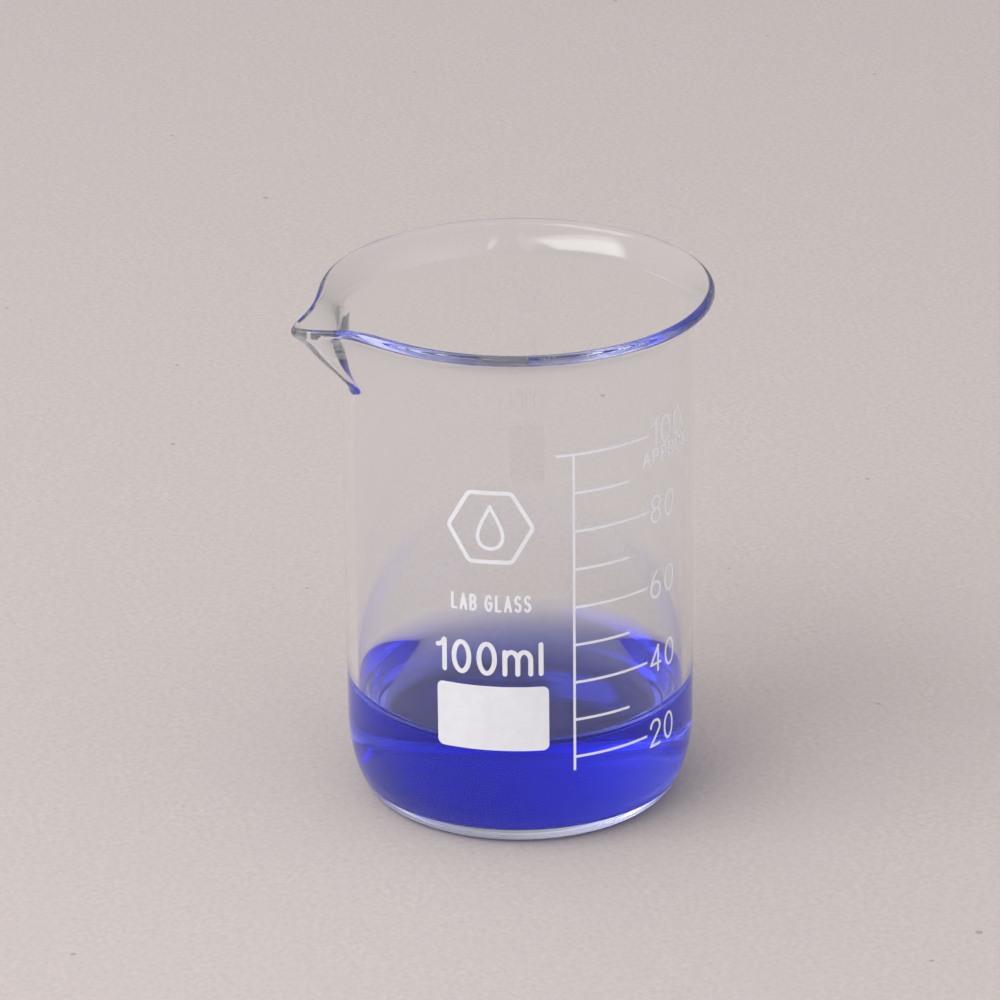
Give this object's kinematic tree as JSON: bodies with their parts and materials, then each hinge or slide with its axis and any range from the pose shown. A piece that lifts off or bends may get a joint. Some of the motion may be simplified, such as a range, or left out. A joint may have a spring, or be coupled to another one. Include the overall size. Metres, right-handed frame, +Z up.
{
  "type": "beaker",
  "caption": "Low-form laboratory beaker of clear glass with a beaded rim, a pouring spout and a white printed scale, holding a shallow blue solution.",
  "frame": {"origin": "centre of the flat base, on the surface that the beaker stands on", "axes": "+Z up along the beaker's axis to the rim, -X along the pouring spout, -Y out of the side with the printed scale"},
  "size_m": [0.0615, 0.0556, 0.0764],
  "materials": {
    "glass": "polished",
    "solution": "wet",
    "enamel": "satin"
  },
  "bodies": {
    "root": {"glass_body": "glass", "liquid": "solution", "scale_lines": "enamel", "numeral_20_1": "enamel", "numeral_20_2": "enamel", "numeral_40_1": "enamel", "numeral_40_2": "enamel", "numeral_60_1": "enamel", "numeral_60_2": "enamel", "numeral_80_1": "enamel", "numeral_80_2": "enamel", "numeral_100_1": "enamel", "numeral_100_2": "enamel", "numeral_100_3": "enamel", "approx_1": "enamel", "approx_2": "enamel", "approx_3": "enamel", "approx_4": "enamel", "approx_5": "enamel", "approx_6": "enamel", "caption_1": "enamel", "caption_2": "enamel", "caption_3": "enamel", "caption_4": "enamel", "caption_5": "enamel", "caption_6": "enamel", "caption_7": "enamel", "caption_8": "enamel", "capacity_1": "enamel", "capacity_2": "enamel", "capacity_3": "enamel", "capacity_4": "enamel", "capacity_5": "enamel", "label_panel": "enamel", "mark_outline": "enamel", "mark_drop": "enamel"}
  },
  "joints": []
}
